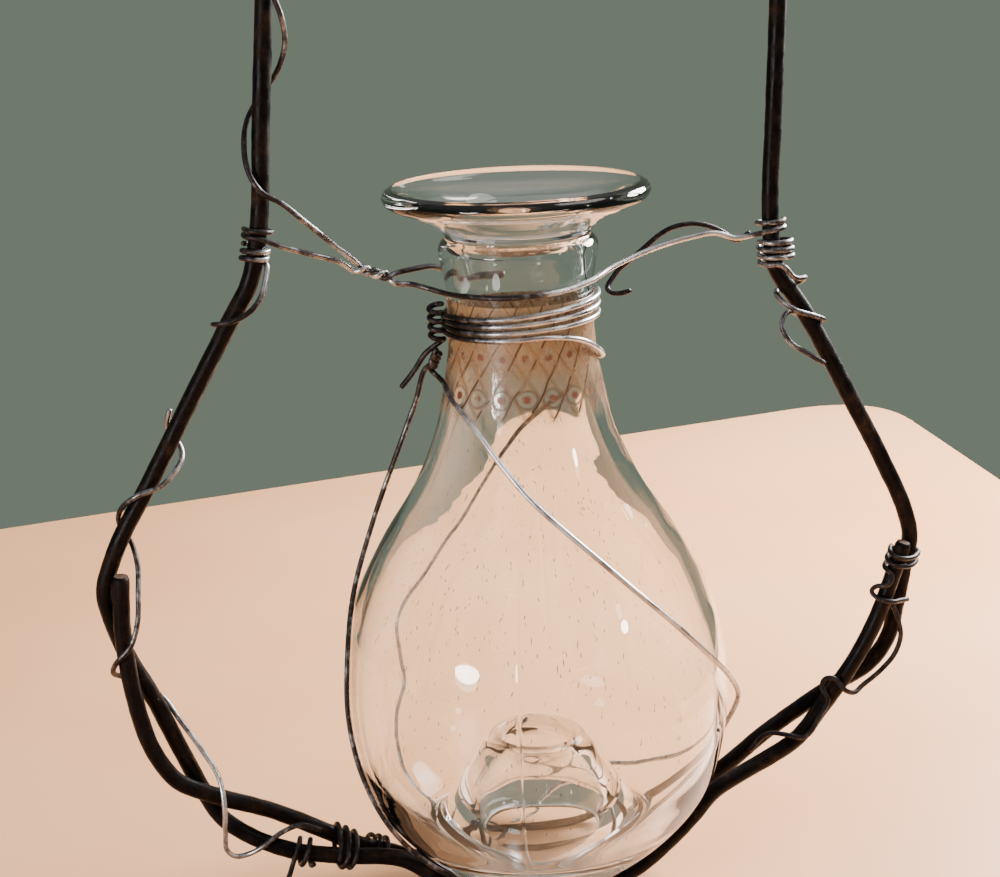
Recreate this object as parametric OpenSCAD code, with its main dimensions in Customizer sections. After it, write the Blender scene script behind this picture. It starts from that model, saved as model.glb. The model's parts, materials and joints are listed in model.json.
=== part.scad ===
// Wire-bound glass wasp trap: a blown bottle with an entry hole in its base, held by the neck in a
// cradle of thin galvanised wire, which hangs between the shoulders of a bent frame of heavy wire.
// The frame stands on the table at z = 0, with +X along the frame and -Y towards its front.

/* [Bottle] */
// Largest outside diameter of the belly
belly_d = 110.8; // [106:0.2:111]
// Height from the foot ring to the top of the lip
bottle_h = 200.3; // [198:0.1:201]
// Diameter of the straight bore in the mouth, where a cork goes
mouth_d = 34; // [33:0.1:34.4]
// Height of the foot ring above the table
base_z = 8.5; // [8:0.1:9]
// Distance of the bottle's axis from the middle of the frame
bottle_x = 2.5; // [2:0.1:3]

/* [Wire] */
// Diameter of the heavy frame wire
frame_d = 4.8; // [4.4:0.1:4.8]
// Diameter of the thin binding wire
thin_d = 1.5; // [1.2:0.1:1.5]
// Free gap left round a wire where it passes glass or another wire
gap = 0.35; // [0.3:0.01:0.4]

/* [Frame] */
// Height of the centre of the hanging eye
eye_z = 364; // [363:0.5:366]
// Radius of the hanging eye at the middle of its wire
eye_r = 12; // [11.5:0.1:12]

/* [Hidden] */

thin_r = thin_d / 2;
frame_r = frame_d / 2;
// Distance between wire centres where thin wire is wound on the frame wire
wind_r = frame_r + thin_r + gap;
// Distance from the glass surface to the middle of a thin wire that lies on it
lie = thin_r + gap;
band_t = 0.3;
frame_sides = 10;
thin_sides = 8;

rusty = [0.20, 0.13, 0.09];
zinc = [0.55, 0.56, 0.58];

// ---- Curves ----

function unit(v) = v / norm(v);

// Direction of a route at one of its points: the nearer neighbour counts for more
function heading(p, i) =
    i == 0 ? unit(p[1] - p[0])
    : i == len(p) - 1 ? unit(p[i] - p[i - 1])
    : let (a = p[i] - p[i - 1], b = p[i + 1] - p[i]) unit(a / (a * a) + b / (b * b));

// A point on the cubic between two points of a route
function along(p, i, t) =
    let (
        reach = norm(p[i + 1] - p[i]),
        leave = heading(p, i) * reach,
        arrive = heading(p, i + 1) * reach
    )
    (2 * t ^ 3 - 3 * t ^ 2 + 1) * p[i] + (t ^ 3 - 2 * t ^ 2 + t) * leave
    + (3 * t ^ 2 - 2 * t ^ 3) * p[i + 1] + (t ^ 3 - t ^ 2) * arrive;

function smooth(p, n) =
    [for (i = [0 : len(p) - 2], k = [0 : n - 1]) along(p, i, k / n), p[len(p) - 1]];

// Turns of wire round the line from a to b. An angle of 0 is its right side and -90 its front.
function turns(a, b, r, count, start, per = 6) =
    let (
        d = unit(b - a),
        rise = d.z < 0 ? -d : d,
        u = unit(cross([0, 1, 0], rise)),
        v = cross(rise, u),
        n = round(per * abs(count))
    )
    [for (k = [0 : n]) let (q = start + 360 * count * k / n)
        a + (b - a) * k / n + r * (cos(q) * u + sin(q) * v)];

// The same round a pair of strands whose centres lie at a +- half_a and further on at b +- half_b
function pair_turns(a, b, half_a, half_b, count, start, per = 8) =
    let (n = round(per * abs(count)))
    [for (k = [0 : n])
        let (
            q = start + 360 * count * k / n,
            half = half_a + (half_b - half_a) * k / n,
            side = unit(half),
            up = unit(cross(side, b - a)),
            long_r = norm(half) + wind_r + 0.6,
            short_r = wind_r + 0.8
        )
        a + (b - a) * k / n + long_r * cos(q) * side + short_r * sin(q) * up];

// A normal that is carried along a route without twisting
function carry(t, i, s, done) =
    i == len(t) ? done
    : let (next = unit(s - (s * t[i]) * t[i])) carry(t, i + 1, next, concat(done, [next]));

// Round bar swept along the points p, or along the stretch of them from first to last
module bar(p, r, sides, first = 0, last = -1) {
    n = len(p);
    end = last < 0 ? n - 1 : last;
    t = [for (i = [0 : n - 1]) unit(p[min(i + 1, n - 1)] - p[max(i - 1, 0)])];
    side = carry(t, 0, cross(t[0], abs(t[0].y) < 0.9 ? [0, 1, 0] : [0, 0, 1]), []);
    rings = end - first + 1;
    points = [for (i = [first : end], j = [0 : sides - 1])
        let (q = 360 * j / sides) p[i] + r * (cos(q) * side[i] + sin(q) * cross(t[i], side[i]))];
    walls = [for (i = [0 : rings - 2], j = [0 : sides - 1], half = [0, 1])
        let (k = (j + 1) % sides, lo = i * sides, hi = lo + sides)
        half == 0 ? [lo + j, hi + j, hi + k] : [lo + j, hi + k, lo + k]];
    foot = [for (j = [0 : sides - 1]) j];
    head = [for (j = [0 : sides - 1]) rings * sides - 1 - j];
    polyhedron(points, concat(walls, [foot, head]));
}

module thin_wire(p, n = 2) {
    color(zinc) bar(smooth(p, n), thin_r, thin_sides);
}

// ---- Glass ----

// Outside of the glass from the foot ring to the top of the lip: [radius, height above the foot]
outline = [
    [22, 0], [24.5, 0.5], [28.5, 2.8], [32.5, 5.8], [41, 13.6], [49.5, 25], [54, 39], [55.4, 52],
    [55, 64], [51.3, 81.5], [42.8, 99], [31.8, 116.5], [25.2, 132], [22, 145.5], [20.4, 155],
    [20, 165], [20.5, 173], [21.8, 181], [22, 183.5], [21.2, 185.2], [20, 186.3], [21, 188],
    [24.5, 190.5], [30, 193.3], [34, 195.1], [36, 196.3], [36.7, 198], [35.9, 199.6], [34.1, 200.3]
];
// From the top of the lip down the funnel to the bore
funnel = [[34.1, 200.3], [31, 199.5], [26, 197], [21.5, 193.5], [18.4, 190]];
bore_top = 186;
bore_foot = 160;
// Inside of the neck and belly, from the bore down to the bait trough
lining = [
    [17.2, 156], [18.5, 146.5], [21.2, 132.8], [26.9, 117.7], [37.4, 100.5], [46.2, 82.7],
    [50.9, 64.4], [51.9, 52], [50.9, 40], [46.8, 28.5], [41.2, 20.2], [36.8, 15.6],
    [34, 13.9], [31.4, 14], [29, 16.2]
];
// The kick-up: up its inner wall, over the lip of the entry hole, and down its outer wall
kick_up = [
    [29, 16.2], [25.6, 22.5], [21.6, 29], [17.6, 35], [14.8, 39.2], [13.2, 41.2], [11.7, 41.8],
    [10.6, 40.6], [10.9, 37.2], [14, 31.5], [17.8, 24.5], [20.2, 16], [21.2, 8], [21.6, 3], [22, 0]
];

glass_scale = [belly_d / 110.8, bottle_h / 200.3];
function sized(p) = [for (q = p) [q.x * glass_scale.x, q.y * glass_scale.y]];
outside = smooth(sized(outline), 2);

// Outside radius of the glass at a height above the foot
function glass_r(h) = lookup(h, [for (q = outside) if (q.y < 184) [q.y, q.x]]);

// A place off the glass: angle from the front, height above the foot, distance from the surface
function off_glass(a, h, out) =
    let (
        away = out * unit([2, glass_r(h - 1) - glass_r(h + 1)]),
        r = glass_r(h) + away.x
    )
    [bottle_x + r * sin(a), -r * cos(a), base_z + h + away.y];

// Points [angle, height, extra distance] of a wire that follows the glass
function on_glass(p) = [for (q = p) off_glass(q[0], q[1], lie + q[2])];

module bottle() {
    color([0.80, 0.86, 0.84, 0.45])
    translate([bottle_x, 0, base_z])
    rotate_extrude($fn = 96)
    polygon(concat(
        outside,
        smooth(sized(funnel), 2),
        [[mouth_d / 2, bore_top], [mouth_d / 2, bore_foot]],
        smooth(sized(lining), 2),
        smooth(sized(kick_up), 2)
    ));
}

// Printed band round the neck, from behind the collar wires down
band_foot = 136;
band_top = 170;
module neck_band() {
    printed = [for (q = outside) if (q.y > band_foot && q.y < band_top) q];
    color([0.72, 0.52, 0.30])
    translate([bottle_x, 0, base_z])
    rotate_extrude($fn = 96)
    polygon(concat(
        [for (q = printed) [q.x + 0.05, q.y]],
        [for (i = [len(printed) - 1 : -1 : 0]) [printed[i].x + band_t, printed[i].y]]
    ));
}

// ---- Heavy frame wire ----
// One length of wire. It starts beside the right elbow, runs under the bottle in front, up the
// left side, round the hanging eye, down the right side and back under the bottle behind.

front_right = [
    [113, -4.5, 96.5], [110, -3.5, 86], [103.5, -2.8, 69], [94.5, -2.6, 54.5], [87, -2.6, 45],
    [81.5, -3, 38.5], [71, -4, 33], [61, -6, 29.5], [54, -7, 26.5], [46, -8.5, 19],
    [38, -9.5, 12.5], [29, -10, 6]
];
front_base = [[18, -10, 2.5], [12, -10, 2.5], [-10, -10, 2.5], [-16, -10, 2.5]];
front_left = [
    [-24, -10, 5], [-31, -9, 10.5], [-37.5, -7, 15.5], [-56.5, -4, 18.5], [-72, -3, 22],
    [-83.5, -1, 27.5], [-91, 1.5, 33.5], [-94.5, 2.6, 40.5], [-100.5, 2.6, 55.5],
    [-107, 2.6, 72.5], [-112.5, 2.6, 84.5], [-115.5, 2, 94.5], [-117, 1, 103.5]
];
left_side = [
    [-114, 0.4, 113], [-101.5, 0, 135], [-77, 0, 177], [-71, 0, 187], [-68.5, 0, 196.5],
    [-65, 0, 229.5], [-62, 0, 260], [-58.5, 0, 296]
];
left_arm = [[-53, 0.4, 318], [-41, 1.2, 334], [-24, 2, 345.5], [-8, 2.6, eye_z - eye_r - 0.8]];
eye_x = 4;
eye_step = 30;
eye = [for (q = [0 : eye_step : 360])
    [eye_x + eye_r * sin(q), 2.6 - 5.2 * q / 360, eye_z - eye_r * cos(q)]];
right_arm = [[16, -2.6, eye_z - eye_r - 0.7], [34, -2, 346.5], [56, -1.2, 335], [71, -0.4, 318]];
right_side = [
    [78, 0, 296], [77, 0, 253], [75.5, 0, 220.5], [74.5, 0, 192.5], [75.5, 0, 181],
    [83, 0, 169], [98, 0, 140.5], [109, 0, 118.5], [115.5, 0, 103]
];
back_right = [
    [117, 0.5, 96.5], [115.7, 1, 89], [113.5, 2, 75.5], [111.5, 2.6, 65.5], [106, 2.6, 57.5],
    [95.5, 2.6, 52], [83.5, 3, 45], [72, 5, 36.5], [61.5, 6, 28], [50, 8, 19.5],
    [40, 9.5, 12.5], [30, 10, 6]
];
back_base = [[18, 10, 2.5], [12, 10, 2.5], [-10, 10, 2.5], [-16, 10, 2.5]];
back_left = [
    [-27, 9.5, 5.5], [-40, 7, 12], [-53, 4, 18.6], [-62, 3, 24.4], [-79, 1, 34.5],
    [-88, -1.2, 39], [-93.8, -2.6, 42.4], [-101, -2.6, 46.2], [-107.3, -2.6, 56],
    [-111, -2.6, 70.5], [-112.5, -2.6, 83], [-113, -2.7, 93], [-112, -3.4, 109.5]
];

frame_parts = [
    front_right, front_base, front_left, left_side, left_arm, eye,
    right_arm, right_side, back_right, back_base, back_left
];
frame_points = [for (part = frame_parts, q = part) q];
frame_steps = 2;
frame_path = smooth(frame_points, frame_steps);

// Number of points before a part of the frame wire
function before(part) = part == 0 ? 0 : len(frame_parts[part - 1]) + before(part - 1);

// The frame wire from one of its points to another
module frame_wire(first, last) {
    color(rusty) bar(frame_path, frame_r, frame_sides, first * frame_steps, last * frame_steps);
}

shoulder_left = before(3) + 4;
arch_left = before(4) - 1;
arch_right = before(7);
shoulder_right = before(7) + 3;

module front_strand_right() { frame_wire(0, before(1) - 1); }
module front_rail() { frame_wire(before(1) - 1, before(2)); }
module front_strand_left() { frame_wire(before(2), before(3) - 1); }
module left_slant() { frame_wire(before(3) - 1, shoulder_left); }
module left_upright() { frame_wire(shoulder_left, arch_left); }
module left_arch_arm() { frame_wire(arch_left, before(5)); }
module hanging_eye() { frame_wire(before(5), before(6) - 1); }
module right_arch_arm() { frame_wire(before(6) - 1, arch_right); }
module right_upright() { frame_wire(arch_right, shoulder_right); }
module right_slant() { frame_wire(shoulder_right, before(8)); }
module back_strand_right() { frame_wire(before(8), before(9) - 1); }
module back_rail() { frame_wire(before(9) - 1, before(10)); }
module back_strand_left() { frame_wire(before(10), len(frame_points) - 1); }

// ---- Thin wire fixed to the frame ----

module left_upright_spiral() {
    thin_wire(concat(
        turns([-60.1, 0, 282], [-60.6, 0, 277.5], wind_r, 1.75, 0),
        [[-60, -3.7, 263], [-58, -2.6, 256.5], [-57.2, 0, 250], [-59.6, 3, 242], [-64.3, 3.9, 236],
         [-68.3, 2.4, 230], [-69.9, -0.5, 223], [-69.4, -2.9, 217], [-66.4, -3.9, 211.5]]
    ));
}

// Tight turns on the left shoulder, then one open turn on to the slant
module left_shoulder_wrap() {
    thin_wire(concat(
        turns([-68.6, 0, 197], [-69.6, 0, 192.2], wind_r, -2.5, 180),
        [[-66.8, -1.8, 188], [-68, -3, 184.4], [-71.6, -4.2, 180], [-76.6, -3.9, 177.6],
         [-80, -2.8, 176.9], [-81.8, 0.3, 176.4]]
    ));
}

// From a cut end behind the slant, round the elbow and down, in a loop below the strands
module left_side_wire() {
    thin_wire([
        [-94.9, 1.4, 153.9], [-95.9, 2, 150.4], [-95.3, 3.6, 147], [-92.8, 2.8, 142.4],
        [-92.9, -0.4, 140], [-94.6, -2.8, 138], [-99, -4, 134], [-106, -3.6, 131.6],
        [-110.3, -0.6, 127.6], [-111.2, 3, 122.5], [-108.8, 3.8, 117.6], [-107.4, 1, 112],
        [-107.8, -3, 104], [-108.9, -5.6, 95.5], [-111.4, -6.5, 89.5], [-115.2, -5.4, 85.5],
        [-116.6, -2, 81.5], [-114.2, 4, 77.5], [-109, 6.3, 74], [-103.2, 6, 68.6],
        [-99.5, 2.6, 63], [-94.5, 0, 55], [-90, -3, 46], [-89.4, -5.6, 38.5],
        [-89.8, -5.8, 30], [-89.6, -5, 25], [-87.6, -4.6, 22.8], [-84.3, -4.8, 23],
        [-79.5, -6, 25.5], [-74, -4.6, 28.4], [-68, -2.5, 29], [-62.4, -2, 26.4]
    ]);
}

// Two open turns on the front strand, with the cut end hanging below
module bottom_coil() {
    thin_wire(concat(
        [[-77, -8, 11], [-73.4, -8.4, 15.4]],
        turns([-70.6, -3.1, 21.6], [-64.8, -3.4, 20.2], wind_r + 0.3, 2, -120)
    ));
}

module bottom_binding_outer() {
    thin_wire(pair_turns(
        [-58.6, -0.2, 20.5], [-52.9, -0.3, 18.2], [0, 3.7, 1.7], [0, 4.3, 0.3], 2.5, 200
    ));
}

module bottom_binding_inner() {
    thin_wire(turns([-48.4, 5, 16.4], [-42.6, 6.4, 13.4], wind_r, 2.75, 0));
}

module right_shoulder_coil() {
    thin_wire(concat(
        turns([75.6, 0, 188.2], [76.2, 0, 181.4], 4.7, 3.25, 180),
        [[79.8, -4.4, 177.6], [84.6, 0, 176.4], [81.6, 4.3, 173.6], [78.2, 3.6, 173.2],
         [76.4, 1.2, 172.4], [79.6, -3.8, 168.6], [86.5, -3.4, 165.8], [90, 0, 163.8], [86.4, 4.2, 163.4],
         [80.8, 3, 166.4], [77.6, 0, 163.4], [79.4, -1.6, 158.6], [84.2, -3.4, 155.2],
         [89, -4, 152]]
    ));
}

module right_elbow_binding() {
    thin_wire(concat(
        pair_turns([114.4, -1.7, 93.6], [113, -1.3, 88], [2.2, 2.5, 0], [2.4, 2.4, 0], 2.25, 100),
        [[107, -8, 85], [104.2, -5.8, 84.2], [103, -4.6, 82.4], [104.4, -6.2, 80.6],
         [108, -7.2, 79.4], [112.2, -4.4, 78.4], [115.6, -1.6, 77.4]]
    ));
}

module right_lower_wire() {
    thin_wire([
        [110.2, -0.6, 78.6], [112.6, -1.4, 71.6], [113.6, -1.4, 66.4], [112, -1.4, 61],
        [107.4, -1.4, 55.8], [101.6, -2, 52], [97, -5.6, 51.4], [93.8, -6.6, 53.4],
        [91.4, -5.6, 56.6], [88.8, -4.4, 56.4], [88, -4.4, 53.4], [89.2, -6, 50.6],
        [86.6, -6.6, 46], [81, -7, 39.6], [76.6, -4.8, 40.2], [72, -0.6, 39.2], [66.8, 0, 34.2]
    ]);
}

// ---- Cradle: thin wire that carries the bottle and swings on the two shoulders ----

eye_gap_r = wind_r + 0.3;

// From an eye on the left upright, across the front of the neck, to an eye on the right upright
module main_tie_wire() {
    thin_wire(concat(
        turns([-68.2, 0, 201.4], [-68.4, 0, 199.2], eye_gap_r, 1.25, 180),
        [[-62, -3.2, 196.6], [-54.4, -2.2, 193.8], [-46, -1, 190.6]],
        turns([-42, 0, 188.8], [-32.5, 0, 185.4], 1, 2, 180, 5),
        [[-27, 0.5, 183]],
        on_glass([[-78, 172.6, 0.6], [-52, 173, 0.3], [-26, 173, 0.3], [0, 173.4, 0.3],
                  [24, 174, 0.3], [46, 175, 0.6]]),
        [[28, -7, 185.4], [36, -4, 187.6], [51, -2.2, 190.8], [58, -2, 191.4], [63.6, -2.2, 189.6],
         [69, -3.6, 190.4]],
        turns([74.5, 0, 191.4], [74.6, 0, 193.8], eye_gap_r, 1.25, -90)
    ));
}

// From beside the spiral on the left upright, through the twist, to the back of the neck
module left_stay_wire() {
    thin_wire(concat(
        [[-61.6, -3.4, 208.4], [-56, -2.2, 203.2], [-48.8, -0.4, 196.4]],
        turns([-42, 0, 188.8], [-32.5, 0, 185.4], 1, 2, 0, 5),
        [[-26.4, 1.6, 187], [-20.8, 6, 186.6]],
        on_glass([[-120, 176.6, 0.6], [-150, 176, 0.4], [-178, 175.4, 0.4]])
    ));
}

// From a short hook beside the collar up to the right shoulder
module right_stay_wire() {
    thin_wire([
        [33, -3.6, 177.4], [29, -3.4, 176.8], [27, -1, 177.6], [29.2, 1.2, 180.6], [36.8, 1, 187],
        [46.6, 0.6, 193.4], [54, 0.6, 193.8], [60.2, 0.6, 191.4], [65, 0.6, 188.4], [69, 1.8, 190.2]
    ]);
}

// Height above the foot of the collar wire at an angle round the neck. It leans up to the right,
// and its turns lie closest together at the knot on the left.
collar_top = 168;
collar_pitch = 2.3;
collar_lean = 1.6;
collar_fan = 0.55;
function collar_h(a) =
    collar_top - collar_pitch * a / 360 + collar_lean * sin(a)
    + collar_fan * (1.5 - a / 360) * sin(a - 15);

module neck_collar() {
    wound = [for (a = [-80 : 30 : 1090]) [a, collar_h(a), a < -60 ? 0.7 : band_t]];
    ending = [[1118, 159, band_t], [1142, 154.6, band_t], [1160, 151.4, band_t], [1182, 149, 0.4]];
    thin_wire(on_glass(concat(wound, ending)));
}

knot_top = off_glass(-74, 170.5, lie + thin_r + 3.6);
knot_foot = off_glass(-76, 160, lie + thin_r + 3.4);
twist_top = knot_foot - [0, 0, 3.4];
twist_foot = off_glass(-92, 150, lie + 3.2);
knot_r = 1.9;

module collar_knot() {
    thin_wire(concat(
        turns(knot_top, knot_foot, knot_r, 4, 0),
        [[-25.4, -3, 164], [-28, -2.4, 160], [-32, -1.6, 155]]
    ));
}

// Down the left of the belly and under the foot ring
module sling_left() {
    thin_wire(concat(
        turns(twist_top, twist_foot, 0.95, 2, 90, 5),
        on_glass([[-100, 138, 6], [-99, 126, 7], [-97, 104.5, 4.3], [-92, 84.5, 0.4],
                  [-83, 71, 0], [-80, 54, 0], [-75, 38, 0], [-69, 25, 0], [-65, 13, 0.2],
                  [-63, 6, 0], [-61.6, 3, 0]]),
        [[-20, -10.6, 7.6], [-14, -4, 7.3], [-10, 3, 7.3]]
    ));
}

// Across the front of the belly, round its right side and under the foot ring from behind
module sling_front() {
    thin_wire(concat(
        turns(twist_top, twist_foot, 0.95, 2, -90, 5),
        on_glass([[-84, 147.5, 0.8], [-66, 143.5, 0.5], [-45, 137.5, 0.4], [-26, 128.5, 0.1],
                  [-10, 119.5, 0], [3, 112, 0], [16, 103, 0], [27, 93.5, 0], [36, 85, 0],
                  [46, 75, 0.3], [60, 62, 1.4], [71, 52, 1.8], [79, 43, 0.6], [89, 32.5, 0],
                  [102, 24, 0], [124, 17, 0], [148, 13.5, 0], [164, 8, 0], [172, 3, 0],
                  [173, 1.1, 0], [173.6, 0.3, 0.1]]),
        [[4.6, 20, 7.3], [-1, 14, 7.3], [-7, 9.5, 7.3]]
    ));
}

// Down the back of the belly from the collar and under the foot ring
module sling_back() {
    thin_wire(concat(
        on_glass([[118, 147, 0.6], [128, 139, 0.2], [152, 131.5, 0], [176, 120, 0], [193, 106, 0],
                  [204, 89, 0], [209, 80, 0], [219, 70, 0], [223, 64, 0], [220, 51, 0],
                  [219, 45, 0], [226, 36, 0.1], [230, 29, 0.1], [234, 22, 0.1], [239, 9, 0], [240, 4, 0],
                  [240, 1.4, 0]]),
        [[-17.6, 12, 7.5], [-13.4, 8.6, 7.3]]
    ));
}

bottle();
neck_band();
hanging_eye();
left_arch_arm();
right_arch_arm();
left_upright();
right_upright();
left_slant();
right_slant();
front_strand_left();
front_rail();
front_strand_right();
back_strand_left();
back_rail();
back_strand_right();
left_upright_spiral();
left_shoulder_wrap();
left_side_wire();
bottom_coil();
bottom_binding_outer();
bottom_binding_inner();
right_shoulder_coil();
right_elbow_binding();
right_lower_wire();
main_tie_wire();
left_stay_wire();
right_stay_wire();
neck_collar();
collar_knot();
sling_left();
sling_front();
sling_back();
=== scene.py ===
"""Looks of the wire-bound glass wasp trap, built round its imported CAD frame."""

import json
import math

import bpy
import numpy as np
from mathutils import Matrix, Vector

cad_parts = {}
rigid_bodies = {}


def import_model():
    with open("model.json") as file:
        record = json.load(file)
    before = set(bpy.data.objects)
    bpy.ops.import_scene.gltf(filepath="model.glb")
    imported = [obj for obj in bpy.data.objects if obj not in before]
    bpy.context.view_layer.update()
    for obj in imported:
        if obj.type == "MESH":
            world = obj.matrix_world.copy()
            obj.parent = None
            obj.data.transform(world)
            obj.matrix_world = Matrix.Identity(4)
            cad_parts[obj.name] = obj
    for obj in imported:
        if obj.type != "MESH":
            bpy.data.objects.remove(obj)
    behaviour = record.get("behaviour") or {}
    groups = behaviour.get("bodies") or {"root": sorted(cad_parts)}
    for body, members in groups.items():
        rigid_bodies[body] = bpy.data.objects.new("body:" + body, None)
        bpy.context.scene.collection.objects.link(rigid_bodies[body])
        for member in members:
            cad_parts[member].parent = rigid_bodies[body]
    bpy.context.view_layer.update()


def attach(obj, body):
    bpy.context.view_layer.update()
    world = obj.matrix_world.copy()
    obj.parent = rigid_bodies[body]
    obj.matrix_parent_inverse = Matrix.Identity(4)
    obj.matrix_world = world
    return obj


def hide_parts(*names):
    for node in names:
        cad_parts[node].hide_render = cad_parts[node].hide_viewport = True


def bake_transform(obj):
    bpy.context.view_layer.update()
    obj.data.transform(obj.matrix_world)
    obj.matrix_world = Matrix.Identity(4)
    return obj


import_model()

MM = 0.001
rng = np.random.default_rng(7)

# ---- Sizes and routes of the CAD part, in millimetres ----

MOUTH_R = 17.0
BASE_Z = 8.5
BOTTLE_X = 2.5
FRAME_R = 2.4
THIN_R = 0.75
GAP = 0.35
EYE_Z = 364.0
EYE_R = 12.0
# A thin wire's middle from the frame wire's middle, and from the face that it lies on
WIND_R = FRAME_R + THIN_R + GAP
LIE = THIN_R + GAP
# The printed band's thickness in the CAD part, which the collar lies on
BAND_T = 0.3
# A binding's extra room beside a pair of strands, and across the pair
PAIR_SIDE_ROOM = 0.15
PAIR_CROSS_ROOM = 0.25


def unit(v):
    return v / np.linalg.norm(v)


def smooth(points, n):
    """The cubics through points, n steps to each, as the CAD part draws them."""
    p = np.asarray(points, float)
    steps = np.diff(p, axis=0)
    length = np.linalg.norm(steps, axis=1)
    weighted = steps / length[:, None] ** 2
    heading = np.vstack([steps[:1], weighted[:-1] + weighted[1:], steps[-1:]])
    heading /= np.linalg.norm(heading, axis=1)[:, None]
    out = []
    for i, reach in enumerate(length):
        for k in range(n):
            t = k / n
            out.append(
                (2 * t**3 - 3 * t**2 + 1) * p[i]
                + (t**3 - 2 * t**2 + t) * heading[i] * reach
                + (3 * t**2 - 2 * t**3) * p[i + 1]
                + (t**3 - t**2) * heading[i + 1] * reach
            )
    out.append(p[-1])
    return np.array(out)


def turns(a, b, r, count, start, per=6):
    """Turns of wire round the line from a to b. 0 is its right side and -90 its front."""
    a, b = np.array(a, float), np.array(b, float)
    d = unit(b - a)
    rise = -d if d[2] < 0 else d
    u = unit(np.cross([0, 1, 0], rise))
    v = np.cross(rise, u)
    n = round(per * abs(count))
    out = []
    for k in range(n + 1):
        q = math.radians(start + 360 * count * k / n)
        out.append(a + (b - a) * k / n + r * (math.cos(q) * u + math.sin(q) * v))
    return out


def pair_turns(a, b, half_a, half_b, count, start, per=8):
    """Turns round a pair of strands, which lie at a +- half_a and further on at b +- half_b."""
    a, b = np.array(a, float), np.array(b, float)
    half_a, half_b = np.array(half_a, float), np.array(half_b, float)
    n = round(per * abs(count))
    out = []
    for k in range(n + 1):
        q = math.radians(start + 360 * count * k / n)
        half = half_a + (half_b - half_a) * k / n
        side = unit(half)
        up = unit(np.cross(side, b - a))
        long_r = np.linalg.norm(half) + WIND_R + PAIR_SIDE_ROOM
        short_r = WIND_R + PAIR_CROSS_ROOM
        out.append(
            a + (b - a) * k / n + long_r * math.cos(q) * side + short_r * math.sin(q) * up
        )
    return out


# Glass: [radius, height above the foot]
OUTLINE = [
    [22, 0], [24.5, 0.5], [28.5, 2.8], [32.5, 5.8], [41, 13.6], [49.5, 25], [54, 39],
    [55.4, 52], [55, 64], [51.3, 81.5], [42.8, 99], [31.8, 116.5], [25.2, 132],
    [22, 145.5], [20.4, 155], [20, 165], [20.5, 173], [21.8, 181], [22, 183.5],
    [21.2, 185.2], [20, 186.3], [21, 188], [24.5, 190.5], [30, 193.3], [34, 195.1],
    [36, 196.3], [36.7, 198], [35.9, 199.6], [34.1, 200.3],
]
FUNNEL = [[34.1, 200.3], [31, 199.5], [26, 197], [21.5, 193.5], [18.4, 190]]
BORE_TOP = 186
BORE_FOOT = 160
LINING = [
    [17.2, 156], [18.5, 146.5], [21.2, 132.8], [26.9, 117.7], [37.4, 100.5], [46.2, 82.7],
    [50.9, 64.4], [51.9, 52], [50.9, 40], [46.8, 28.5], [41.2, 20.2], [36.8, 15.6],
    [34, 13.9], [31.4, 14], [29, 16.2],
]
KICK_UP = [
    [29, 16.2], [25.6, 22.5], [21.6, 29], [17.6, 35], [14.8, 39.2], [13.2, 41.2], [11.7, 41.8],
    [10.6, 40.6], [10.9, 37.2], [14, 31.5], [17.8, 24.5], [20.2, 16], [21.2, 8], [21.6, 3],
    [22, 0],
]
CAD_OUTSIDE = np.array([q for q in smooth(OUTLINE, 2) if q[1] < 184])


def glass_r(h):
    """The bottle's outer radius at a height above its foot."""
    return float(np.interp(h, CAD_OUTSIDE[:, 1], CAD_OUTSIDE[:, 0]))


def off_glass(a, h, out):
    """A place off the glass: angle from the front, height above the foot, distance."""
    slope_r = glass_r(h - 1) - glass_r(h + 1)
    away = out * unit(np.array([2, slope_r]))
    r = glass_r(h) + away[0]
    a = math.radians(a)
    return np.array(
        [BOTTLE_X + r * math.sin(a), -r * math.cos(a), BASE_Z + h + away[1]]
    )


def on_glass(points):
    """A wire's places on the glass, each [angle, height, extra distance]."""
    return [off_glass(a, h, LIE + extra) for a, h, extra in points]


FRAME_ROUTE = [
    # the start beside the right elbow, and the front strand down to the base
    [113, -4.5, 96.5], [110, -3.5, 86], [103.5, -2.8, 69], [94.5, -2.6, 54.5],
    [87, -2.6, 45], [81.5, -3, 38.5], [71, -4, 33], [61, -6, 29.5], [54, -7, 26.5],
    [46, -8.5, 19], [38, -9.5, 12.5], [29, -10, 6],
    # the front rail
    [18, -10, 2.5], [12, -10, 2.5], [-10, -10, 2.5], [-16, -10, 2.5],
    # the front strand up to the left elbow
    [-24, -10, 5], [-31, -9, 10.5], [-37.5, -7, 15.5], [-56.5, -4, 18.5], [-72, -3, 22],
    [-83.5, -1, 27.5], [-91, 1.5, 33.5], [-94.5, 2.6, 40.5], [-100.5, 2.6, 55.5],
    [-107, 2.6, 72.5], [-112.5, 2.6, 84.5], [-115.5, 2, 94.5], [-117, 1, 103.5],
    # the left slant, shoulder and upright
    [-114, 0.4, 113], [-101.5, 0, 135], [-77, 0, 177], [-71, 0, 187], [-68.5, 0, 196.5],
    [-65, 0, 229.5], [-62, 0, 260], [-58.5, 0, 296],
    # the left arm of the arch
    [-53, 0.4, 318], [-41, 1.2, 334], [-24, 2, 345.5], [-8, 2.6, EYE_Z - EYE_R - 0.8],
]
FRAME_ROUTE += [
    [
        4 + EYE_R * math.sin(math.radians(q)),
        2.6 - 5.2 * q / 360,
        EYE_Z - EYE_R * math.cos(math.radians(q)),
    ]
    for q in range(0, 361, 30)
]
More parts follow.
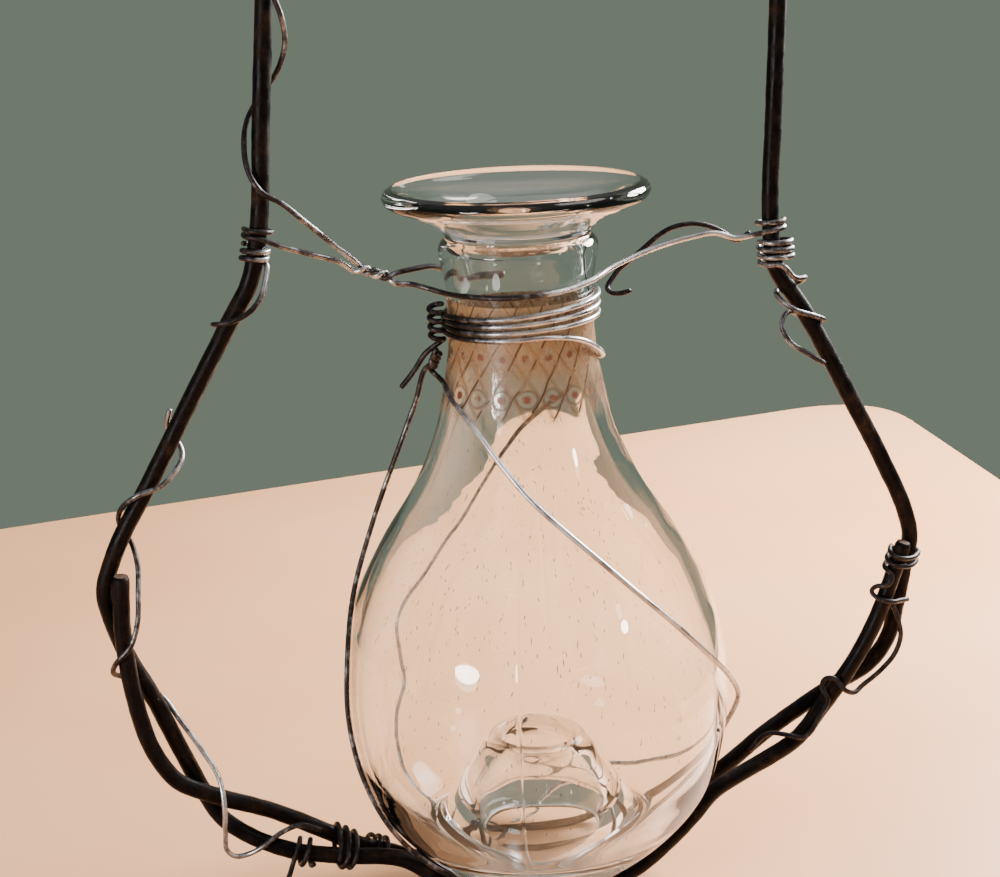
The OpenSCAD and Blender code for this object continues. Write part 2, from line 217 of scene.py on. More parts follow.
FRAME_ROUTE += [
    # the right arm, upright, shoulder and slant
    [16, -2.6, EYE_Z - EYE_R - 0.7], [34, -2, 346.5], [56, -1.2, 335], [71, -0.4, 318],
    [78, 0, 296], [77, 0, 253], [75.5, 0, 220.5], [74.5, 0, 192.5], [75.5, 0, 181],
    [83, 0, 169], [98, 0, 140.5], [109, 0, 118.5], [115.5, 0, 103],
    # the back strand down to the base
    [117, 0.5, 96.5], [115.7, 1, 89], [113.5, 2, 75.5], [111.5, 2.6, 65.5],
    [106, 2.6, 57.5], [95.5, 2.6, 52], [83.5, 3, 45], [72, 5, 36.5], [61.5, 6, 28],
    [50, 8, 19.5], [40, 9.5, 12.5], [30, 10, 6],
    # the back rail
    [18, 10, 2.5], [12, 10, 2.5], [-10, 10, 2.5], [-16, 10, 2.5],
    # the back strand up to its end beside the left elbow
    [-27, 9.5, 5.5], [-40, 7, 12], [-53, 4, 18.6], [-62, 3, 24.4], [-79, 1, 34.5],
    [-88, -1.2, 39], [-93.8, -2.6, 42.4], [-101, -2.6, 46.2], [-107.3, -2.6, 56],
    [-111, -2.6, 70.5], [-112.5, -2.6, 83], [-113, -2.7, 93], [-112, -3.4, 109.5],
]

# The eyes that the cradle hangs from are wider, so that they turn on the uprights
EYE_GAP_R = WIND_R + 0.3
KNOT_TOP = off_glass(-74, 170.5, LIE + THIN_R + 3.6)
KNOT_FOOT = off_glass(-76, 160, LIE + THIN_R + 3.4)
TWIST_TOP = KNOT_FOOT - np.array([0, 0, 3.4])
TWIST_FOOT = off_glass(-92, 150, LIE + 3.2)


def collar_h(a):
    """Height of the collar wire after it has turned by the angle a from the front."""
    fan = 0.55 * (1.5 - a / 360) * math.sin(math.radians(a - 15))
    return 168 - 2.3 * a / 360 + 1.6 * math.sin(math.radians(a)) + fan


UPRIGHT_SPIRAL = turns([-60.1, 0, 282], [-60.6, 0, 277.5], WIND_R, 1.75, 0) + [
    [-60, -3.7, 263], [-58, -2.6, 256.5], [-57.2, 0, 250], [-59.6, 3, 242],
    [-64.3, 3.9, 236], [-68.3, 2.4, 230], [-69.9, -0.5, 223], [-69.4, -2.9, 217],
    [-66.4, -3.9, 211.5],
]
LEFT_STAY = (
    [[-61.6, -3.4, 208.4], [-56, -2.2, 203.2], [-48.8, -0.4, 196.4]]
    + turns([-42, 0, 188.8], [-32.5, 0, 185.4], 1, 2, 0, 5)
    + [[-26.4, 1.6, 187], [-20.8, 6, 186.6]]
    + on_glass([[-120, 176.6, 0.6], [-150, 176, 0.4], [-178, 175.4, 0.4]])
)

# Name: (route, the body that it rides, CAD nodes it stands for, [x, how dark it is there]).
# That darkness is partly tarnish and partly painted shade, set darker where a wire lies away from
# the light.
# The one wire with no body blends from the frame to the cradle.
THIN_WIRES = {
    "left_long_tie": (
        UPRIGHT_SPIRAL + LEFT_STAY,
        None,
        ("left_upright_spiral", "left_stay_wire"),
        ((-70, 0.72), (-50, 0.5), (-44, 0.45), (-36, 0.62), (-20, 0.72)),
    ),
    "left_shoulder_wrap_wire": (
        turns([-68.6, 0, 197], [-69.6, 0, 192.2], WIND_R, -2.5, 180)
        + [
            [-66.8, -1.8, 188], [-68, -3, 184.4], [-71.6, -4.2, 180], [-76.6, -3.9, 177.6],
            [-80, -2.8, 176.9], [-81.8, 0.3, 176.4],
        ],
        "frame",
        ("left_shoulder_wrap",),
        ((-73, 0.78), (-70, 0.6), (-64, 0.22)),
    ),
    "left_side_long_wire": (
        [
            [-94.9, 1.4, 153.9], [-95.9, 2, 150.4], [-95.3, 3.6, 147], [-92.8, 2.8, 142.4],
            [-92.9, -0.4, 140], [-94.6, -2.8, 138], [-99, -4, 134], [-106, -3.6, 131.6],
            [-110.3, -0.6, 127.6], [-111.2, 3, 122.5], [-108.8, 3.8, 117.6],
            [-107.4, 1, 112], [-107.8, -3, 104], [-108.9, -5.6, 95.5],
            [-111.4, -6.5, 89.5], [-115.2, -5.4, 85.5], [-116.6, -2, 81.5],
            [-114.2, 4, 77.5], [-109, 6.3, 74], [-103.2, 6, 68.6], [-99.5, 2.6, 63],
            [-94.5, 0, 55], [-90, -3, 46], [-89.4, -5.6, 38.5], [-89.8, -5.8, 30],
            [-89.6, -5, 25], [-87.6, -4.6, 22.8], [-84.3, -4.8, 23], [-79.5, -6, 25.5],
            [-74, -4.6, 28.4], [-68, -2.5, 29], [-62.4, -2, 26.4],
        ],
        "frame",
        ("left_side_wire",),
        ((-116, 0.66), (-97, 0.5), (-90, 0.44), (-60, 0.7)),
    ),
    "bottom_coil_wire": (
        [[-77, -8, 11], [-73.4, -8.4, 15.4]]
        + turns([-70.6, -3.1, 21.6], [-64.8, -3.4, 20.2], WIND_R + 0.3, 2, -120),
        "frame",
        ("bottom_coil",),
        ((-80, 0.85), (0, 0.85)),
    ),
    "bottom_binding_outer_wire": (
        pair_turns(
            [-58.6, -0.2, 20.5], [-52.9, -0.3, 18.2], [0, 3.7, 1.7], [0, 4.3, 0.3], 2.5, 200
        ),
        "frame",
        ("bottom_binding_outer",),
        ((-80, 0.85), (0, 0.85)),
    ),
    "bottom_binding_inner_wire": (
        turns([-48.4, 5, 16.4], [-42.6, 6.4, 13.4], WIND_R, 2.75, 0),
        "frame",
        ("bottom_binding_inner",),
        ((-80, 0.85), (0, 0.85)),
    ),
    "right_shoulder_coil_wire": (
        turns([75.6, 0, 188.2], [76.2, 0, 181.4], 4.7, 3.25, 180)
        + [
            [79.8, -4.4, 177.6], [84.6, 0, 176.4], [81.6, 4.3, 173.6], [78.2, 3.6, 173.2],
            [76.4, 1.2, 172.4], [79.6, -3.8, 168.6], [86.5, -3.4, 165.8], [90, 0, 163.8],
            [86.4, 4.2, 163.4], [80.8, 3, 166.4], [77.6, 0, 163.4], [79.4, -1.6, 158.6],
            [84.2, -3.4, 155.2], [89, -4, 152],
        ],
        "frame",
        ("right_shoulder_coil",),
        ((70, 0.52), (90, 0.62)),
    ),
    "right_elbow_binding_wire": (
        pair_turns(
            [114.4, -1.7, 93.6], [113, -1.3, 88], [2.2, 2.5, 0], [2.4, 2.4, 0], 2.25, 100
        )
        + [
            [107, -8, 85], [104.2, -5.8, 84.2], [103, -4.6, 82.4], [104.4, -6.2, 80.6],
            [108, -7.2, 79.4], [112.2, -4.4, 78.4], [115.6, -1.6, 77.4],
        ],
        "frame",
        ("right_elbow_binding",),
        ((100, 0.8), (118, 0.8)),
    ),
    "right_lower_long_wire": (
        [
            [110.2, -0.6, 78.6], [112.6, -1.4, 71.6], [113.6, -1.4, 66.4], [112, -1.4, 61],
            [107.4, -1.4, 55.8], [101.6, -2, 52], [97, -5.6, 51.4], [93.8, -6.6, 53.4],
            [91.4, -5.6, 56.6], [88.8, -4.4, 56.4], [88, -4.4, 53.4], [89.2, -6, 50.6],
            [86.6, -6.6, 46], [81, -7, 39.6], [76.6, -4.8, 40.2], [72, -0.6, 39.2],
            [66.8, 0, 34.2],
        ],
        "frame",
        ("right_lower_wire",),
        ((60, 0.75), (118, 0.75)),
    ),
    "main_tie_long_wire": (
        turns([-67.85, 0, 201.4], [-68.0, 0, 199.2], EYE_GAP_R, 1.25, 180)
        + [[-62, -3.2, 196.6], [-54.4, -2.2, 193.8], [-46, -1, 190.6]]
        + turns([-42, 0, 188.8], [-32.5, 0, 185.4], 1, 2, 180, 5)
        + [[-27, 0.5, 183]]
        + on_glass(
            [
                [-78, 172.6, 0.6], [-52, 173, 0.3], [-26, 173, 0.3], [0, 173.4, 0.3],
                [24, 174, 0.3], [46, 175, 0.6],
            ]
        )
        + [
            [28, -7, 185.4], [36, -4, 187.6], [51, -2.2, 190.8], [58, -2, 191.4],
            [63.6, -2.2, 189.6], [69, -3.6, 190.4],
        ]
        + turns([74.5, 0, 191.4], [74.6, 0, 193.8], EYE_GAP_R, 1.25, -90),
        "cradle",
        ("main_tie_wire",),
        (
            (-70, 0.66), (-50, 0.52), (-38, 0.36), (-30, 0.55), (-20, 0.68),
            (2, 0.6), (14, 0.2), (60, 0.12), (70, 0.6),
        ),
    ),
    "right_stay_long_wire": (
        [
            [33, -3.6, 177.4], [29, -3.4, 176.8], [27, -1, 177.6], [29.2, 1.2, 180.6],
            [36.8, 1, 187], [46.6, 0.6, 193.4], [54, 0.6, 193.8], [60.2, 0.6, 191.4],
            [65, 0.6, 188.4], [69, 1.8, 190.2],
        ],
        "cradle",
        ("right_stay_wire",),
        ((26, 0.9), (60, 0.8), (70, 0.6)),
    ),
    "neck_collar_wire": (
        on_glass(
            [
                [a, collar_h(a), 0.7 if a < -60 else BAND_T]
                for a in range(-80, 1091, 30)
            ]
            + [
                [1118, 159, BAND_T], [1142, 154.6, BAND_T], [1160, 151.4, BAND_T],
                [1182, 149, 0.4],
            ]
        ),
        "cradle",
        ("neck_collar",),
        ((-22, 0.85), (-15, 0.62), (-6, 0.45), (6, 0.22), (24, 0.08)),
    ),
    "collar_knot_wire": (
        turns(KNOT_TOP, KNOT_FOOT, 1.9, 4, 0)
        + [[-25.4, -3, 164], [-28, -2.4, 160], [-32, -1.6, 155]],
        "cradle",
        ("collar_knot",),
        ((-40, 1.0), (0, 1.0)),
    ),
    "sling_left_wire": (
        turns(TWIST_TOP, TWIST_FOOT, 0.95, 2, 90, 5)
        + on_glass(
            [
                [-100, 138, 6], [-99, 126, 7], [-97, 104.5, 4.3], [-92, 84.5, 0.4],
                [-83, 71, 0], [-80, 54, 0], [-75, 38, 0], [-69, 25, 0], [-65, 13, 0.2],
                [-63, 6, 0], [-61.6, 3, 0],
            ]
        )
        + [[-20, -10.6, 7.6], [-14, -4, 7.3], [-10, 3, 7.3]],
        "cradle",
        ("sling_left",),
        ((-40, 0.6), (-20, 0.62), (0, 0.7)),
    ),
    "sling_front_wire": (
        turns(TWIST_TOP, TWIST_FOOT, 0.95, 2, -90, 5)
        + on_glass(
            [
                [-84, 147.5, 0.8], [-66, 143.5, 0.5], [-45, 137.5, 0.4], [-26, 128.5, 0.1],
                [-10, 119.5, 0], [3, 112, 0], [16, 103, 0], [27, 93.5, 0], [36, 85, 0],
                [46, 75, 0.3], [60, 62, 1.4], [71, 52, 1.8], [79, 43, 0.6],
                [89, 32.5, 0], [102, 24, 0], [124, 17, 0], [148, 13.5, 0], [164, 8, 0],
                [172, 3, 0], [173, 1.1, 0], [173.6, 0.3, 0.1],
            ]
        )
        + [[4.6, 20, 7.3], [-1, 14, 7.3], [-7, 9.5, 7.3]],
        "cradle",
        ("sling_front",),
        ((-25, 0.85), (-19, 0.5), (-12, 0.26), (36, 0.28), (60, 0.45)),
    ),
    "sling_back_wire": (
        on_glass(
            [
                [118, 147, 0.6], [128, 139, 0.2], [152, 131.5, 0], [176, 120, 0],
                [193, 106, 0], [204, 89, 0], [209, 80, 0], [219, 70, 0], [223, 64, 0],
                [220, 51, 0], [219, 45, 0], [226, 36, 0.1], [230, 29, 0.1],
                [234, 22, 0.1], [239, 9, 0], [240, 4, 0], [240, 1.4, 0],
            ]
        )
        + [[-17.6, 12, 7.5], [-13.4, 8.6, 7.3]],
        "cradle",
        ("sling_back",),
        ((-60, 0.3), (0, 0.55), (30, 0.6)),
    ),
}

# ---- Node materials ----


class Look:
    """A material with one Principled shader, and short calls that add nodes to it."""

    def __init__(self, name):
        self.material = bpy.data.materials.new(name)
        self.material.use_nodes = True
        self.tree = self.material.node_tree
        self.shader = next(n for n in self.tree.nodes if n.type == "BSDF_PRINCIPLED")

    def feed(self, socket, value):
        """Link value to the socket if it is one, or set it there."""
        if isinstance(value, bpy.types.NodeSocket):
            self.tree.links.new(value, socket)
        else:
            socket.default_value = value

    def node(self, kind, inputs=(), **settings):
        """A new node with its settings, and its inputs fed by name or number."""
        made = self.tree.nodes.new(kind)
        for key, value in settings.items():
            setattr(made, key, value)
        for key, value in dict(inputs).items():
            self.feed(made.inputs[key], value)
        return made

    def math(self, operation, a, b=0.0, c=0.0):
        made = self.node(
            "ShaderNodeMath", {0: a, 1: b, 2: c}, operation=operation
        )
        return made.outputs[0]

    def clamp(self, value):
        return self.node("ShaderNodeClamp", {0: value}).outputs[0]

    def span(self, value, low, high, start=0.0, end=1.0):
        """value from low to high, mapped smoothly to start..end."""
        made = self.node(
            "ShaderNodeMapRange",
            {0: value, 1: low, 2: high, 3: start, 4: end},
            interpolation_type="SMOOTHSTEP",
        )
        return made.outputs[0]

    def noise(self, where, scale, detail=3.0, rough=0.55):
        made = self.node(
            "ShaderNodeTexNoise",
            {"Vector": where, "Scale": scale, "Detail": detail, "Roughness": rough},
        )
        return made.outputs[0]

    def stretch(self, where, scale):
        """The coordinates where, scaled by a different amount along each axis."""
        return self.node(
            "ShaderNodeVectorMath", {0: where, 1: scale}, operation="MULTIPLY"
        ).outputs[0]

    def ramp(self, value, stops):
        """The colour for value between stops, each (place, colour)."""
        made = self.node("ShaderNodeValToRGB", {0: value})
        band = made.color_ramp
        while len(band.elements) < len(stops):
            band.elements.new(0.5)
        for element, (place, colour) in zip(band.elements, stops, strict=True):
            element.position = place
            element.color = (*colour, 1)
        return made.outputs[0]

    def blend(self, a, b, share):
        """Two values added, share of b and the rest of a."""
        return self.math(
            "ADD", self.math("MULTIPLY", a, 1.0 - share), self.math("MULTIPLY", b, share)
        )

    def mix(self, share, a, b):
        made = self.node("ShaderNodeMix", {0: share}, data_type="RGBA")
        for i, value in ((6, a), (7, b)):
            if not isinstance(value, bpy.types.NodeSocket):
                value = (*value, 1)
            self.feed(made.inputs[i], value)
        return made.outputs[2]

    def bump(self, height, distance):
        made = self.node("ShaderNodeBump", {"Height": height, "Distance": distance})
        return made.outputs[0]

    def object_place(self):
        return self.node("ShaderNodeTexCoord").outputs["Object"]

    def wire_place(self):
        """Place on a wire laid out straight: along it, and across its section, in metres."""
        return self.node(
            "ShaderNodeAttribute", attribute_name="wire_place"
        ).outputs["Vector"]

    def set(self, **values):
        """Feed the Principled shader's inputs, and give back the material."""
        for key, value in values.items():
            self.feed(self.shader.inputs[key.replace("_", " ")], value)
        return self.material


def clear_glass():
    look = Look("hand_blown_glass")
    where = look.object_place()
    ripple = look.noise(where, 38.0, detail=0.0)
    cords = look.noise(look.stretch(where, (70.0, 70.0, 150.0)), 1.0, detail=0.0)
    height = look.blend(ripple, cords, 0.2)
    return look.set(
        Base_Color=(0.975, 0.985, 0.978, 1),
        Roughness=0.012,
        IOR=1.5,
        Transmission_Weight=1.0,
        Normal=look.bump(height, 0.00022),
    )


def seed_look():
    # The dark brown colour is painted shade: it stands in for the darkness that clear air bubbles
    # show in glass as they bend the light.
    look = Look("seed_bubble")
    grain = look.noise(look.object_place(), 900.0)
    return look.set(
        Base_Color=look.ramp(grain, ((0.3, (0.10, 0.07, 0.06)), (0.7, (0.22, 0.17, 0.15)))),
        Roughness=0.3,
    )


def frame_look():
    look = Look("rusted_frame_wire")
    place = look.wire_place()
    patches = look.noise(place, 210.0, detail=4.0, rough=0.62)
    grain = look.noise(place, 1500.0, detail=3.0, rough=0.6)
    drawn = look.noise(look.stretch(place, (60.0, 1100.0, 1100.0)), 1.0, detail=2.0)
    colour = look.ramp(
        look.blend(patches, grain, 0.3),
        (
            (0.36, (0.0015, 0.0012, 0.0018)),
            (0.52, (0.0035, 0.0023, 0.0026)),
            (0.62, (0.017, 0.0078, 0.0042)),
            (0.75, (0.065, 0.028, 0.010)),
        ),
    )
    height = look.blend(grain, drawn, 0.4)
    return look.set(
        Base_Color=colour,
        Specular_IOR_Level=0.09,
        Roughness=look.span(patches, 0.35, 0.7, 0.30, 0.60),
        Normal=look.bump(height, 0.00016),
    )


def cut_end_look():
    look = Look("rusted_cut_end")
    grain = look.noise(look.object_place(), 1800.0, detail=4.0)
    return look.set(
        Base_Color=look.ramp(grain, ((0.35, (0.02, 0.010, 0.007)), (0.65, (0.11, 0.05, 0.022)))),
        Roughness=0.85,
        Normal=look.bump(grain, 0.0003),
    )


def thin_look():
    """Galvanised binding wire, bright where its darkness is 0 and nearly black where it is 1. The
    darkness is partly tarnish and partly painted shade where the wire lies away from the light.
    """
    look = Look("galvanised_wire")
    place = look.wire_place()
    # per-point darkness: partly real tarnish and partly painted shade on the parts of the wires
    # away from the light
    tarnish_and_painted_shade = look.node("ShaderNodeAttribute", attribute_name="tarnish_and_painted_shade").outputs["Fac"]
    patches = look.noise(place, 130.0, detail=3.0, rough=0.6)
    spots = look.noise(place, 620.0, detail=3.0, rough=0.65)
    drawn = look.noise(look.stretch(place, (110.0, 2600.0, 2600.0)), 1.0, detail=2.0)
    bright = look.ramp(
        look.blend(patches, drawn, 0.5),
        (
            (0.33, (0.18, 0.175, 0.19)),
            (0.50, (0.50, 0.495, 0.52)),
            (0.64, (0.82, 0.82, 0.86)),
        ),
    )
    dull = look.ramp(
        look.blend(patches, spots, 0.5),
        (
            (0.36, (0.008, 0.007, 0.009)),
            (0.54, (0.030, 0.025, 0.027)),
            (0.70, (0.11, 0.095, 0.095)),
        ),
    )
    darkening = look.blend(patches, spots, 0.4)
    share = look.span(look.math("ADD", darkening, tarnish_and_painted_shade), 0.86, 1.14)
    height = look.blend(spots, drawn, 0.5)
    rough = look.math("MULTIPLY", share, 0.18)
    return look.set(
        Base_Color=look.mix(share, bright, dull),
        Metallic=0.9,
        Roughness=look.math("ADD", look.span(patches, 0.3, 0.7, 0.22, 0.36), rough),
        Normal=look.bump(height, 0.00007),
    )


# The printed band: cells round the neck, and the rest in millimetres above the bottle's foot
BAND_CELLS = 20
BAND_NECK_R = 20.6
BAND_CELL = 2 * math.pi * BAND_NECK_R / BAND_CELLS
BAND_ROW = 10.8
BAND_LOW_ROW = 145.0
BAND_FOOT = 136.0
BAND_TOP = 170.0
BAND_RING_R = 2.5
# How far its lines are shaken: in cells round the neck, and in millimetres up
BAND_SHAKE = (0.22, 1.6)


def band_look():
    """Worn ochre paint, with a lattice of slanting strokes and ringed dots."""
    look = Look("printed_paint")
    uv = look.node("ShaderNodeUVMap", uv_map="band").outputs[0]
    wear = look.noise(look.object_place(), 260.0, detail=4.0, rough=0.6)
    fine = look.noise(look.object_place(), 900.0, detail=2.0)
    waver = look.node("ShaderNodeTexNoise", {"Vector": look.object_place(), "Scale": 170.0})
    shaken = look.node(
        "ShaderNodeVectorMath",
        {0: waver.outputs[1], 1: (*BAND_SHAKE, 0.0), 2: uv},
        operation="MULTIPLY_ADD",
    ).outputs[0]
    parts = look.node("ShaderNodeSeparateXYZ", {0: shaken})
    # a and b count cells round and rows up, and v is the height in millimetres
    a = look.math("SUBTRACT", parts.outputs[0], BAND_SHAKE[0] / 2)
    v = look.math("SUBTRACT", parts.outputs[1], BAND_SHAKE[1] / 2)
    b = look.math("DIVIDE", look.math("SUBTRACT", v, BAND_LOW_ROW), BAND_ROW)

    def off_line(value):
        """Distance from the nearest whole number."""
        part = look.math("FRACT", look.math("ADD", value, 0.5))
        return look.math("ABSOLUTE", look.math("SUBTRACT", part, 0.5))

    def times(value, *others):
        for other in others:
            value = look.math("MULTIPLY", value, other)
        return value

    def most(value, *others):
        for other in others:
            value = look.math("MAXIMUM", value, other)
        return value

    forward = off_line(look.math("SUBTRACT", a, b))
    backward = off_line(look.math("ADD", a, b))
    across = times(off_line(look.math("ADD", a, 0.5)), BAND_CELL)
    upward = times(off_line(b), BAND_ROW)
    from_dot = look.math("SQRT", look.math("ADD", times(across, across), times(upward, upward)))
    low = look.span(v, BAND_FOOT + 2.0, BAND_FOOT + 4.5)
    first_row = look.span(v, BAND_LOW_ROW + 5.0, BAND_LOW_ROW + 3.0)

    stroke = times(look.span(forward, 0.062, 0.028), look.span(wear, 0.40, 0.50), 0.95)
    thin_back = times(look.span(backward, 0.05, 0.015), look.span(wear, 0.42, 0.6), 0.6)
    off_ring = look.math("ABSOLUTE", look.math("SUBTRACT", from_dot, BAND_RING_R))
    ring = times(look.span(off_ring, 0.6, 0.15), first_row, 0.55)
    lines = times(most(stroke, thin_back, ring), low)
    net = times(look.span(look.math("MINIMUM", forward, backward), 0.20, 0.03), low)
    dot = times(look.span(from_dot, 1.35, 0.65), look.span(wear, 0.33, 0.47), low)

    tall = look.span(v, BAND_LOW_ROW - 1.0, BAND_LOW_ROW + 15.0, 0.10, 0.62)
    ground = times(
        tall, look.span(wear, 0.28, 0.60, 0.6, 1.2), look.span(v, BAND_FOOT, BAND_FOOT + 5.0)
    )
    ground = look.math("ADD", ground, times(net, 0.26))
    colour = look.mix(fine, (0.46, 0.30, 0.155), (0.33, 0.20, 0.10))
    colour = look.mix(times(net, 0.55), colour, (0.30, 0.135, 0.045))
    colour = look.mix(lines, colour, (0.060, 0.026, 0.014))
    colour = look.mix(times(dot, 0.9), colour, (0.20, 0.042, 0.022))
    alpha = look.clamp(most(ground, times(lines, 0.92), times(dot, 0.8)))
    return look.set(Base_Color=colour, Alpha=alpha, Roughness=0.42)


def floor_look():
    look = Look("pale_floor")
    cloud = look.noise(look.object_place(), 5.0, detail=2.0)
    return look.set(
        Base_Color=look.ramp(cloud, ((0.3, (0.80, 0.375, 0.165)), (0.7, (0.86, 0.46, 0.235)))),
        Roughness=0.45,
    )


# ---- Meshes ----


def new_object(name, verts, faces, look, smooth_shading=True):
    mesh = bpy.data.meshes.new(name)
    mesh.from_pydata([tuple(v) for v in verts], [], faces)
    mesh.validate()
    mesh.polygons.foreach_set("use_smooth", [smooth_shading] * len(mesh.polygons))
    mesh.materials.append(look)
    obj = bpy.data.objects.new(name, mesh)
    bpy.context.scene.collection.objects.link(obj)
    return obj


def skin(rings, sides, closed=False):
    """Quads from each ring of vertices to the next, and from the last to the first if closed."""
    faces = []
    for i in range(rings if closed else rings - 1):
        a, b = i * sides, (i + 1) % rings * sides
        for j in range(sides):
            k = (j + 1) % sides
            faces.append((a + j, a + k, b + k, b + j))
    return faces


def resample(points, step, relax):
    """Points at even steps along a route, with its small kinks relaxed."""
    length = np.linalg.norm(np.diff(points, axis=0), axis=1)
    run = np.concatenate([[0], np.cumsum(length)])
    count = max(8, round(run[-1] / step))
    even = np.linspace(0, run[-1], count + 1)
    path = np.stack([np.interp(even, run, points[:, k]) for k in range(3)], axis=1)
    for _ in range(relax):
        path[1:-1] += 0.25 * (path[:-2] - 2 * path[1:-1] + path[2:])
    return path


def wander(count, step, scale):
    """A random run of count values, one each step, that changes over about the length scale."""
    knots = rng.normal(size=max(4, int(count * step / scale) + 4))
    return np.interp(np.linspace(0, len(knots) - 1, count), np.arange(len(knots)), knots)


# How a wire's thickness varies: over this length, up to this share, and at its last two rings
UNEVEN_LENGTH = 9.0
WIDEST = 1.03
END_SHARES = (0.80, 0.96)
# How far apart two wires lie in their material's pattern, in millimetres
PATTERN_STEP = 37.0


def section(path):
    """Two directions across a path at each of its points, which turn as little as they can."""
    way = np.gradient(path, axis=0)
    way /= np.linalg.norm(way, axis=1)[:, None]
    side = np.zeros_like(path)
    side[0] = unit(np.cross(way[0], [0, 1, 0] if abs(way[0][1]) < 0.9 else [0, 0, 1]))
    for i in range(1, len(path)):
        side[i] = unit(side[i - 1] - (side[i - 1] @ way[i]) * way[i])
    return side, np.cross(way, side)


def tube(name, route, r, sides, step, look, relax, uneven, pitted=0.0, tarnish_and_painted_shade=None):
    """A wire of radius r along a route in millimetres, with closed, slightly rounded ends.

    It has a ring every step, relax rounds of smoothing, a share of its radius uneven and pits
    of a depth in millimetres. Its points carry where they are on the wire, and how dark it is
    there: partly tarnish and partly painted shade.
    """
    path = resample(smooth(route, 10), step, relax)
    n = len(path)
    side, other = section(path)
    q = np.linspace(0, 2 * np.pi, sides, endpoint=False)
    radius = r * (1 + uneven * wander(n, step, UNEVEN_LENGTH))[:, None] * np.ones(sides)
    radius = np.minimum(radius, r * WIDEST)
    if pitted:
        # the noise is blurred round and along the wire, and scaled back to about its first spread
        rough = rng.normal(size=(n, sides))
        rough = (rough + np.roll(rough, 1, 1) + np.roll(rough, -1, 1)) / 1.7
        rough[1:-1] = (rough[:-2] + 2 * rough[1:-1] + rough[2:]) / 2.45
        radius = radius - pitted * np.clip(rough, -1.0, 2.0)
    ends = np.ones(n)
    ends[:2] = END_SHARES
    ends[-2:] = END_SHARES[::-1]
    radius = radius * ends[:, None]
    circle = (
        np.cos(q)[None, :, None] * side[:, None, :] + np.sin(q)[None, :, None] * other[:, None, :]
    )
    verts = (path[:, None, :] + radius[:, :, None] * circle).reshape(-1, 3) * MM
    faces = skin(n, sides)
    faces.append(tuple(range(sides - 1, -1, -1)))
    faces.append(tuple((n - 1) * sides + j for j in range(sides)))
    obj = new_object(name, verts, faces, look)
    run = np.concatenate([[0], np.cumsum(np.linalg.norm(np.diff(path, axis=0), axis=1))])
    place = np.zeros((n, sides, 3))
    place[:, :, 0] = run[:, None] + PATTERN_STEP * len(bpy.data.objects)
    place[:, :, 1] = r * np.cos(q)[None, :]
    place[:, :, 2] = r * np.sin(q)[None, :]
    attribute = obj.data.attributes.new("wire_place", "FLOAT_VECTOR", "POINT")
    attribute.data.foreach_set("vector", (place * MM).astype(np.float32).ravel())
    # darkness read along x: partly tarnish and partly painted shade, darker where the wire lies
    # away from the light
    if tarnish_and_painted_shade is not None:
        xs, shades = zip(*tarnish_and_painted_shade, strict=True)
        darkening = np.interp(path[:, 0], xs, shades)
        attribute = obj.data.attributes.new("tarnish_and_painted_shade", "FLOAT", "POINT")
        attribute.data.foreach_set("value", np.repeat(darkening, sides).astype(np.float32))
    return obj


def waves(times_round, count):
    """Random gentle waves round and up the glass: (times round, per millimetre, phase, size)."""
    return [
        (
            int(rng.integers(*times_round)),
            rng.uniform(-0.09, 0.09),
            rng.uniform(0, 2 * math.pi),
            rng.uniform(0.4, 1.0) / count,
        )
        for _ in range(count)
    ]


def wavy(kinds, angle, height):
    return sum(s * np.cos(m * angle + f * height + p) for m, f, p, s in kinds)


# Mould seams: degrees from the front, the height they fade at, and how far they stand out
SEAM_ANGLES = (-16.0, 164.0)
SEAM_TOP = 118.0
SEAM_FADE = 14
SEAM_HEIGHT = 0.16
SEAM_HALF = 0.30
SEAM_STEPS = (-1.1, -0.7, -0.42, -0.2, 0, 0.2, 0.42, 0.7, 1.1)
SEAM_CLEAR = 1.3
# How uneven the glass is, in millimetres: outside, the lip's height, inside, and the kick-up
OUTER_WAVE = 0.16
LIP_WAVE = 0.25
INNER_WAVE = 0.75
KICK_WAVE = 0.8
LIP_FOOT = 186
LIP_BLEND = 8


def angles_round():
    """Angles round the bottle from its front, closer together at the mould seams."""
    even = list(np.linspace(-180, 180, 176, endpoint=False))
    close = [s + d for s in SEAM_ANGLES for d in SEAM_STEPS]
    kept = [a for a in even if all(abs(a - s) > SEAM_CLEAR for s in SEAM_ANGLES)]
    return np.radians(sorted(kept + close))


